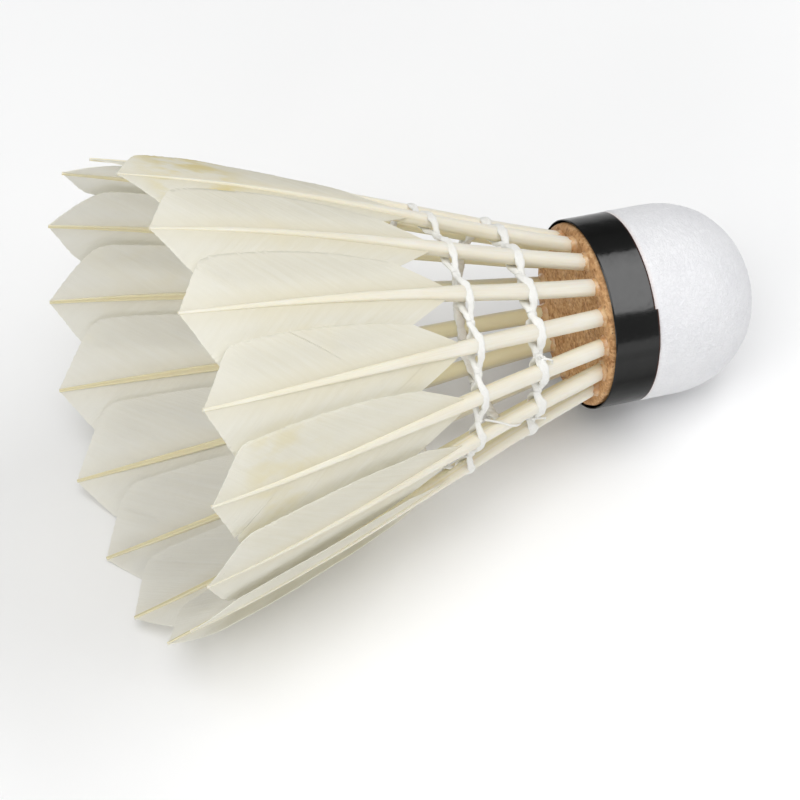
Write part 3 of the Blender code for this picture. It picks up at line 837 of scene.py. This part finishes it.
def add_web(shape, feather, side, rows, v, z, q):
    """One unbroken piece of web with an outer and an inner face; v is the distance
    from the shaft, q the share of the barb's length."""
    ridge = np.where(rows % 2 == 0, 0.020, -0.014)[:, None]
    ridge = ridge * np.sin(np.clip(q * 1.3, 0, 1) * math.pi * 0.5)
    across = v * side
    lift = web_lift(feather, np.minimum(z, feather.tip + 1.0), across)
    thick = 0.13 - 0.06 * q
    faces = []
    for face in (1, -1):
        out = lift + face * (0.5 * thick) + ridge * (1.0 if face > 0 else 0.8)
        faces.append(shape.grid(
            shaft_point(feather, z, across, out), flip=face * side > 0,
            barb=rows[:, None] * 0.5 + (300 if side < 0 else 0), reach=v * 1.3, height=z,
            lateral=across, outer=1.0 if face > 0 else 0.0, seed=feather.seed))
    # the four edges between the faces
    outer, inner = faces
    over = side > 0
    for edge, flip in ((np.s_[0], not over), (np.s_[-1], over),
                       (np.s_[:, 0], over), (np.s_[:, -1], not over)):
        shape.strip(outer[edge], inner[edge], flip=flip)


def build_vane(feather):
    """The web, barb by barb: every second row of points is the valley between barbs."""
    rng = feather.rng
    s = Shape()
    q = np.linspace(0, 1, 15)[None, :] ** 0.92
    for side in (1, -1):
        root = np.arange(VANE_START + feather.start, feather.tip - 0.2, 0.25)
        n = len(root)
        # barbs leave the shaft steeply near the root, more openly further up
        openness = np.clip((root - 23) / 22.0, 0, 1)
        steepness = 1.75 + (1.02 - 1.75) * openness
        attach = np.interp(root, SHAFT_Z, SHAFT_WIDTH) * 0.55

        def path(v):
            """Height of each barb at distance v from the shaft."""
            return root[:, None] + steepness[:, None] * v + 0.022 * v * v

        # reach of each barb: the last place before it meets the cut outline
        trial = np.linspace(0.0, 10.2, 400)
        inside = trial <= vane_reach(path(trial[None, :]), feather, side)
        first_out = np.where(inside.all(axis=1), 399, np.argmax(~inside, axis=1))
        reach = trial[np.maximum(first_out - 1, 0)]
        jitter = rng.uniform(-1, 1, n // 2 + 2)[np.arange(n) // 2]
        near_tip = path(reach[:, None])[:, 0] > 58.5
        reach = reach + jitter * np.where(near_tip, 0.03, 0.08)
        reach = np.maximum(reach, attach + 0.12)
        v = attach[:, None] + (reach - attach)[:, None] * q
        z = path(v)
        # about one web in five has a split, which its edges spread away from
        splits = rng.choice(np.arange(24, n - 30), size=rng.choice([0, 0, 0, 0, 1]),
                            replace=False)
        bounds = [0] + (splits // 2 * 2).tolist() + [n]
        for piece in range(len(bounds) - 1):
            low, high = max(bounds[piece] - 1, 0), bounds[piece + 1]
            rows = np.arange(low, high)
            piece_z = z[low:high].copy()
            if piece > 0:
                push = rng.uniform(0.10, 0.34)
                piece_z += push * np.exp(-(rows - low) / 5.0)[:, None] * (q ** 4)
            if piece < len(bounds) - 2:
                push = rng.uniform(0.06, 0.26)
                piece_z -= push * np.exp(-(high - 1 - rows) / 5.0)[:, None] * (q ** 4)
            add_web(s, feather, side, rows, v[low:high], piece_z, q)
    return s.make("feather_%02d_vane" % (feather.k + 1), VANE, sharp=80)


# --- threads --------------------------------------------------------------------------
def tube(shape, centre, radii, sides, seed, along, lay=0.0, ply=0.0):
    """A strand along a centre line. radii: across the skirt, outwards. ply is the depth
    of the two twisted grooves, lay their turn per unit of `along`."""
    n = len(centre)
    tangent = np.gradient(centre, axis=0)
    tangent /= np.linalg.norm(tangent, axis=1, keepdims=True)
    out = centre * np.array([1.0, 1.0, 0.0])
    out /= np.linalg.norm(out, axis=1, keepdims=True)
    outward = out - tangent * np.sum(out * tangent, axis=1, keepdims=True)
    outward /= np.linalg.norm(outward, axis=1, keepdims=True)
    sideways = np.cross(tangent, outward)
    angle = np.arange(sides) * 2 * math.pi / sides
    groove = 1 + ply * np.cos(2 * (angle - lay * along[:, None]))
    across, deep = (np.broadcast_to(radius, n)[:, None] * groove for radius in radii)
    p = (centre[:, None, :] + outward[:, None, :] * (deep * np.cos(angle))[..., None]
         + sideways[:, None, :] * (across * np.sin(angle))[..., None])
    numbers = shape.grid(p, wrap=True, flip=True, along=along[:, None], around=angle, seed=seed)
    for row in (0, -1):
        shape.fan(numbers[row], p[row].mean(0), flip=row == -1, along=along[row], seed=seed)


def row_point(feather, height, u, out, z):
    """Point u along a thread row from a feather, outwards of it and z towards the tips."""
    r = float(shaft_radius(height))
    slope = float(shaft_slope(height))
    near = np.clip(1 - np.abs(u) / (PITCH * r / 2), 0, 1)
    angle = feather.theta + (u + sway_at(feather, height) * near) / r
    radius = r + out * math.cos(slope) + z * math.sin(slope)
    level = height - out * math.sin(slope) + z * math.cos(slope)
    return stack(radius * np.cos(angle), radius * np.sin(angle), level)


def thread_lean(k, row):
    return np.random.RandomState(900 + 40 * row + k % COUNT).uniform(-0.08, 0.08)


def build_thread(feather, row):
    """The part of one thread row that is glued to one feather: a strand outside and
    a strand inside the quill, lying side by side on the way to the next quill. Each
    strand starts halfway to one neighbour and ends in a thin pin inside the strands of
    the other, so the row stays joined while the quills bend."""
    k, height, strand = feather.k, ROWS[row], STRANDS[row]
    r = float(shaft_radius(height))
    half_width = float(np.interp(height, SHAFT_Z, SHAFT_WIDTH))
    half_depth = float(np.interp(height, SHAFT_Z, SHAFT_DEPTH))
    half = PITCH * r / 2                                    # halfway to the next quill
    s = Shape()
    u = np.linspace(-half, half + 0.34, 120)
    past = u > half                                        # already on the neighbour's side
    gap = np.where(past, 2 * half - u, np.abs(u))          # distance to the nearer quill
    lean = np.where(past, -thread_lean(k + 1, row), thread_lean(k, row) * np.sign(u))
    away = smooth(gap, half_width * 0.7, half_width + 0.75)
    level = smooth(gap, half_width * 0.55, half * 0.98)
    sag = 0.0192 * r * (1 - (1 - np.clip(gap / half, 0, 1)) ** 2)
    turn = 0.5 * math.pi * (1 + 0.10 * np.sin(gap / half * math.pi * 2.2 + row))
    flare = np.exp(-((gap - half_width - 0.1) / 0.5) ** 2)
    pin = smooth(u, half - 0.03, half + 0.05)
    across = (strand * (1.20 + 0.22 * flare + 0.28 * (1 - away)) * (1 - pin)
              + strand * 0.42 * pin)
    deep = (strand * (0.80 + 0.12 * flare - 0.44 * (1 - away)) * (1 - pin)
            + strand * 0.40 * pin)
    for face in (1, -1):
        here = np.where(past, -face, face)                 # an outer strand is the neighbour's inner one
        out = here * (half_depth + strand * 0.12) * (1 - level)
        out = out - sag * 0.8 + away * strand * 0.5 * np.cos(turn) * here
        z = away * strand * 0.62 * np.sign(u) * face * np.sin(turn)
        z = z + lean * np.sin(np.clip(gap / half, 0, 1) * math.pi)
        z = z + pin * strand * 0.26 * face
        fuzz = 0.05 * noise(stack(u * 2.1, 7.0 * k, 3.0 * face), 57 + row)
        tube(s, row_point(feather, height, u, out, z), radii=(across * (1 + fuzz), deep),
             sides=14, seed=feather.seed + 0.1 * face, along=u + 7.0 * k,
             lay=2 * math.pi / 1.9 * face, ply=0.055)
    return s.make("thread_%s_%02d" % (ROW_NAMES[row], k + 1), THREAD)


def build_knot(feather, row, at, link):
    """A small overhand knot with two trimmed ends, `at` along the row from the feather;
    with link, also a single strand led on towards the upper row."""
    s = Shape()
    height, seed = ROWS[row], feather.seed
    t = np.linspace(0, 2 * math.pi, 61)
    size = 0.42
    loop = row_point(feather, height,
                     u=at + size * (np.sin(t) + 1.6 * np.sin(2 * t)) * 0.62,
                     out=0.34 + size * 0.55 * np.sin(3 * t),
                     z=size * (np.cos(t) - 1.6 * np.cos(2 * t)) * 0.62)
    tube(s, loop, radii=(0.19, 0.19), sides=10, seed=seed, along=t * 0.7, lay=5.0, ply=0.06)

    # each end: run along the row, run towards the tips, lift, share of the run
    for run_u, run_z, lift, reach in ((0.9, 1.5, 0.7, 1.0), (-0.5, -1.4, 0.9, 0.8)):
        def end_point(q, du=0.0, dout=0.0, dz=0.0):
            return row_point(feather, height,
                             u=at + run_u * q * reach + 0.25 * np.sin(q * 3.0) + du,
                             out=0.35 + lift * np.sin(q * 1.7) * 0.8 + dout,
                             z=run_z * q * reach + 0.15 * np.sin(q * 5.0) + dz)

        q = np.linspace(0, 1, 24)
        radius = 0.17 * (1 - 0.25 * q)
        tube(s, end_point(q), radii=(radius, radius), sides=8, seed=seed + 0.3,
             along=q * 2, lay=5.0, ply=0.08)
        for j in range(4):                                   # loose fibres at the cut end
            q = np.linspace(0.72, 1.22, 12)
            spread = (q - 0.72) * 0.55
            angle = j * 1.6 + 0.4
            fibre = end_point(q, du=spread * math.cos(angle),
                              dout=spread * 0.6 * math.sin(angle),
                              dz=spread * math.sin(angle))
            tube(s, fibre, radii=(0.05, 0.05), sides=6, seed=seed + 0.1 * j, along=q)
    if link:
        q = np.linspace(0, 1, 24)
        z = 0.3 + (ROWS[1] - height - 0.6) * q
        u = -2.3 + 4.7 * q
        rise = shaft_radius(height + z) - shaft_radius(height)
        lift = 1.25 * np.exp(-(u / 1.15) ** 2)              # over the quill
        slope = float(shaft_slope(height))
        out = lift - 0.15 + (rise * math.cos(slope) - z * math.sin(slope))
        tube(s, row_point(feather, height, u, out, z), radii=(0.17, 0.17), sides=8,
             seed=seed + 0.5, along=q * 9, lay=5.0, ply=0.07)
    return s.make("thread_knot_%s_%02d" % (ROW_NAMES[row], feather.k + 1), THREAD)


def build_root_glue():
    """Collars of adhesive where the quills leave the cork."""
    s = Shape()
    half_width, half_depth = 1.20, 1.08
    angle = np.arange(36) * 2 * math.pi / 36
    ca, sa = np.cos(angle), np.sin(angle)
    t = np.linspace(0, 1, 9)[:, None]
    for k in range(COUNT):
        rng = np.random.RandomState(50 + k)
        height = rng.uniform(0.5, 0.95)
        spread = rng.uniform(0.28, 0.6)
        lobes = 1 + 0.30 * noise(stack(ca * 1.3 + k * 5, sa * 1.3, 0), 9)
        grow = spread * lobes * (1 - t) ** 1.9
        uneven = 1 + 0.25 * noise(stack(ca * 1.6, sa * 1.6 + k * 3, 0), 19)
        z = height * t * uneven - 0.12
        x = (half_depth + grow + 0.02) * sa
        y = (half_width + grow + 0.02) * ca
        theta = PITCH * k + PHASE
        numbers = s.grid(turned(INSERT_R + ROOT_SLOPE * z + x, y, z, theta),
                         wrap=True, flip=True)
        s.fan(numbers[0], turned(INSERT_R, 0, -0.14, theta), flip=True)
        s.fan(numbers[-1], turned(INSERT_R + ROOT_SLOPE * height, 0, height * 0.9, theta))
    return s.make("root_adhesive", GLUE)


# --- assembly -------------------------------------------------------------------------
def attach(ob, node, slot, replaces=None):
    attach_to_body(ob, node)
    if replaces:
        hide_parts(replaces)


attach(build_leather(), "base", slot="white_leather", replaces="leather_cover")
attach(build_tape(), "base", slot="black_tape", replaces="black_tape")
attach(build_cork(), "base", slot="natural_cork", replaces="cork_disc")
attach(build_root_glue(), "base", slot="natural_cork")

dome = frame["nodes"]["cork_dome"]
dome.data.materials.clear()
dome.data.materials.append(COMPOSITE)

feathers = [feather_values(k) for k in range(COUNT)]
for feather in feathers:
    node = "feather_%02d" % (feather.k + 1)
    attach(build_vane(feather), node, slot="feather", replaces=node)
    shaft = build_shaft(feather)
    # two points on the shaft's centre line, 0.6 and 9.5 mm up; nothing uses them
    start, end = (TO_WORLD @ (Vector(shaft_point(feather, z, 0.0, 0.0)) * MM)
                  for z in (0.6, 9.5))
    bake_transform(shaft)
    for row, row_name in enumerate(ROW_NAMES):
        attach(build_thread(feather, row), node, slot="white_thread",
               replaces="thread_row_" + row_name if feather.k == 0 else None)
# knots: feather, row, distance along the row, whether a strand leads on
for k, row, at, link in ((13, 0, 1.9, False), (12, 0, -2.1, True), (5, 1, 2.2, False)):
    attach(build_knot(feathers[k], row, at, link), "feather_%02d" % (k + 1),
           slot="white_thread")

# --- studio, metres -------------------------------------------------------------------
FLOOR_SIZE, FLOOR_GAP = 6.0, 0.00002
WORLD_LIGHT, WORLD_SEEN = 0.29, 0.97        # strength for lighting, and behind the part
# softboxes: name, azimuth, elevation, distance, size, radiance, direction of the long side
SOFTBOXES = [
    ("top", -20, 76, 0.80, (0.76, 0.66), 2.2, None),
    ("strip", 71.4, 49.8, 0.80, (0.24, 1.10), 3.3, (-0.06, -1.104, -0.243)),
    ("left", -80, 32, 0.90, (0.60, 0.50), 1.5, None),
    ("low", -30, 18, 0.90, (0.60, 0.30), 2.0, None),
]

bpy.context.view_layer.update()
low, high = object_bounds()
CENTRE = Vector([(a + b) / 2 for a, b in zip(low, high)])
bpy.ops.mesh.primitive_grid_add(x_subdivisions=8, y_subdivisions=8, size=FLOOR_SIZE,
                                location=(0, 0, low[2] - FLOOR_GAP))
floor = bpy.context.object
floor.name = "studio_floor"
floor.data.materials.append(floor_material())


def build_world():
    world = bpy.data.worlds.new("studio")
    bpy.context.scene.world = world
    world.use_nodes = True
    nodes, links = world.node_tree.nodes, world.node_tree.links
    background = nodes["Background"]
    background.inputs["Color"].default_value = (0.98, 0.99, 1.0, 1.0)
    path = nodes.new("ShaderNodeLightPath")
    level = nodes.new("ShaderNodeMapRange")
    level.inputs["To Min"].default_value = WORLD_LIGHT
    level.inputs["To Max"].default_value = WORLD_SEEN
    links.new(path.outputs["Is Camera Ray"], level.inputs["Value"])
    links.new(level.outputs["Result"], background.inputs["Strength"])


def softbox(name, azimuth, elevation, distance, size, radiance, along):
    """A rectangular light aimed at the shuttle's centre; angles in degrees."""
    data = bpy.data.lights.new(name, "AREA")
    data.shape = "RECTANGLE"
    data.size, data.size_y = size
    data.energy = radiance * math.pi * size[0] * size[1]
    ob = bpy.data.objects.new(name, data)
    bpy.context.scene.collection.objects.link(ob)
    az, el = math.radians(azimuth), math.radians(elevation)
    d = Vector((math.sin(az) * math.cos(el), -math.cos(az) * math.cos(el), math.sin(el)))
    ob.location = CENTRE + d * distance
    if along is None:
        ob.rotation_euler = (-d).to_track_quat("-Z", "Y").to_euler()
    else:
        y = Vector(along) - d * d.dot(Vector(along))
        y.normalize()
        ob.rotation_euler = Matrix((y.cross(d), y, d)).transposed().to_euler()


build_world()
for box in SOFTBOXES:
    softbox(*box)

# --- camera ---------------------------------------------------------------------------
ELEVATION, YAW, ROLL = math.radians(51.0), math.radians(13.0), math.radians(-10.2)
DISTANCE = 0.65
SENSOR = 36.0                               # millimetres
FILL = 0.88                                 # share of the frame the shuttle spans


def shown_points():
    """World points of every mesh that renders, the floor left out."""
    points = []
    for ob in bpy.context.scene.objects:
        if ob.type == "MESH" and not ob.hide_render and ob is not floor:
            co = np.empty(len(ob.data.vertices) * 3, np.float32)
            ob.data.vertices.foreach_get("co", co)
            world = np.array(ob.matrix_world)
            points.append(co.reshape(-1, 3) @ world[:3, :3].T + world[:3, 3])
    return np.concatenate(points)


def build_camera():
    view = Vector((-math.sin(YAW) * math.cos(ELEVATION), -math.cos(YAW) * math.cos(ELEVATION),
                   math.sin(ELEVATION)))
    turn = (-view).to_track_quat("-Z", "Y") @ Matrix.Rotation(ROLL, 3, "Z").to_quaternion()
    data = bpy.data.cameras.new("camera")
    camera = bpy.data.objects.new("camera", data)
    bpy.context.scene.collection.objects.link(camera)
    camera.rotation_mode = "QUATERNION"
    camera.rotation_quaternion = turn
    data.sensor_width = SENSOR
    data.clip_start = 0.01

    # slide the camera sideways until the shuttle is centred
    axes = np.array(turn.to_matrix())
    points = shown_points()
    place = np.array(CENTRE + view * DISTANCE)
    for _ in range(4):
        local = (points - place) @ axes
        x, y = local[:, 0] / -local[:, 2], local[:, 1] / -local[:, 2]
        shift = np.array([(x.max() + x.min()) / 2, (y.max() + y.min()) / 2]) * DISTANCE
        place = place + axes[:, 0] * shift[0] + axes[:, 1] * shift[1]
    span = max(x.max() - x.min(), y.max() - y.min())
    camera.location = Vector(place)
    data.lens = SENSOR * FILL / span
    bpy.context.scene.camera = camera


build_camera()
bpy.context.scene.view_settings.view_transform = "Standard"
bpy.context.scene.view_settings.look = "None"
